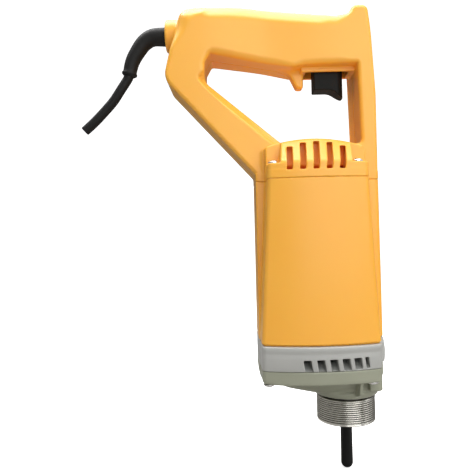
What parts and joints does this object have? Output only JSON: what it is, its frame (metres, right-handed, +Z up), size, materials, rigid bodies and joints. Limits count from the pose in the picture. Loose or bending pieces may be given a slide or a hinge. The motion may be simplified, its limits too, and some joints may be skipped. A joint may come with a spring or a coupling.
{
  "type": "concrete vibrator drive unit",
  "caption": "Hand-held electric concrete vibrator drive: upright motor housing, D-handle with trigger, vented grey gear case, threaded hose collar and drive stub.",
  "frame": {"origin": "on the output spindle's axis at the open end of the threaded hose collar", "axes": "+Z up along the spindle towards the handle, +X towards the handle's front column, Y across the thickness, right shell on -Y"},
  "size_m": [0.2154, 0.0954, 0.3329],
  "materials": {
    "orange_nylon": "fine moulded texture",
    "light_grey_casting": "satin cast",
    "olive_grey_casting": "satin cast",
    "machined_steel": "turned",
    "black_steel": "black oxide",
    "hardened_steel": "ground",
    "bearing_steel": "polished",
    "screw_steel": "zinc plated",
    "lamination_steel": "stacked sheet",
    "copper": "enamelled",
    "bronze": "sintered",
    "carbon": "pressed carbon",
    "phenolic": "moulded",
    "black_plastic": "satin",
    "fan_plastic": "satin",
    "capacitor_film": "smooth",
    "black_rubber": "matt",
    "sleeve_rubber": "matt",
    "wire_brown": "smooth",
    "wire_black": "smooth",
    "nylon_cage": "moulded",
    "spring_steel": "drawn wire"
  },
  "bodies": {
    "housing": {"handle_shell_right": "orange_nylon", "handle_shell_left": "orange_nylon", "handle_shell_screws": "screw_steel", "handle_mount_screws": "screw_steel", "motor_housing": "orange_nylon", "vent_ring": "light_grey_casting", "gear_case": "olive_grey_casting", "gear_case_screws": "screw_steel", "hose_collar": "machined_steel", "spindle_bush": "bronze", "oil_seal": "black_rubber", "bearing_circlip": "spring_steel", "trigger_spring": "spring_steel", "switch_body": "black_plastic", "suppressor_capacitor": "capacitor_film", "cord_guard": "black_rubber", "power_cord": "black_rubber", "cord_clamp": "black_plastic", "cord_clamp_screws": "screw_steel", "mains_wires": "wire_brown", "motor_leads": "wire_black", "stator_core": "lamination_steel", "field_coils": "copper", "stator_screws": "screw_steel", "air_guide": "black_plastic", "rear_bearing_sleeve": "sleeve_rubber", "brush_holder_right": "phenolic", "brush_holder_left": "phenolic", "brush_spring_right": "spring_steel", "brush_spring_left": "spring_steel", "rear_bearing_outer_ring": "bearing_steel", "front_bearing_outer_ring": "bearing_steel", "spindle_bearing_outer_ring": "bearing_steel"},
    "armature": {"armature_shaft": "hardened_steel", "armature_core": "lamination_steel", "armature_winding": "copper", "commutator_bars": "copper", "commutator_hub": "phenolic", "cooling_fan": "fan_plastic", "rear_bearing_inner_ring": "bearing_steel", "front_bearing_inner_ring": "bearing_steel"},
    "spindle": {"output_spindle": "black_steel", "drive_gear": "hardened_steel", "gear_key": "hardened_steel", "spindle_bearing_inner_ring": "bearing_steel"},
    "rear_cage": {"rear_bearing_balls": "bearing_steel", "rear_bearing_cage": "nylon_cage"},
    "front_cage": {"front_bearing_balls": "bearing_steel", "front_bearing_cage": "nylon_cage"},
    "spindle_cage": {"spindle_bearing_balls": "bearing_steel", "spindle_bearing_cage": "nylon_cage"},
    "trigger": {"trigger": "black_plastic"},
    "lock_button": {"lock_button": "black_plastic"},
    "brush_right": {"brush_right": "carbon"},
    "brush_left": {"brush_left": "carbon"}
  },
  "joints": [
    {"name": "armature_spin", "type": "hinge", "parent": "housing", "child": "armature", "pos_m": [-0.0235, 0, 0.1], "axis": [0, 0, 1], "continuous": true},
    {"name": "spindle_spin", "type": "hinge", "parent": "housing", "child": "spindle", "pos_m": [0, 0, 0.03], "axis": [0, 0, 1], "continuous": true},
    {"name": "rear_cage_spin", "type": "hinge", "parent": "housing", "child": "rear_cage", "pos_m": [-0.0235, 0, 0.1665], "axis": [0, 0, 1], "continuous": true},
    {"name": "front_cage_spin", "type": "hinge", "parent": "housing", "child": "front_cage", "pos_m": [-0.0235, 0, 0.0505], "axis": [0, 0, 1], "continuous": true},
    {"name": "spindle_cage_spin", "type": "hinge", "parent": "housing", "child": "spindle_cage", "pos_m": [0, 0, 0.0215], "axis": [0, 0, 1], "continuous": true},
    {"name": "trigger_pull", "type": "slide", "parent": "housing", "child": "trigger", "axis": [0, 0, 1], "range_m": [0, 0.006], "deforming": ["trigger_spring"]},
    {"name": "lock_button_press", "type": "slide", "parent": "housing", "child": "lock_button", "axis": [0, -1, 0], "range_m": [0, 0.003]},
    {"name": "brush_right_slide", "type": "slide", "parent": "housing", "child": "brush_right", "axis": [0, -1, 0], "range_m": [0, 0.004], "deforming": ["brush_spring_right"]},
    {"name": "brush_left_slide", "type": "slide", "parent": "housing", "child": "brush_left", "axis": [0, 1, 0], "range_m": [0, 0.004], "deforming": ["brush_spring_left"]}
  ],
  "couplings": [
    {"joint": "spindle_spin", "follows": "armature_spin", "ratio": -0.23684},
    {"joint": "rear_cage_spin", "follows": "armature_spin", "ratio": 0.36467},
    {"joint": "front_cage_spin", "follows": "armature_spin", "ratio": 0.355},
    {"joint": "spindle_cage_spin", "follows": "armature_spin", "ratio": -0.090947}
  ]
}
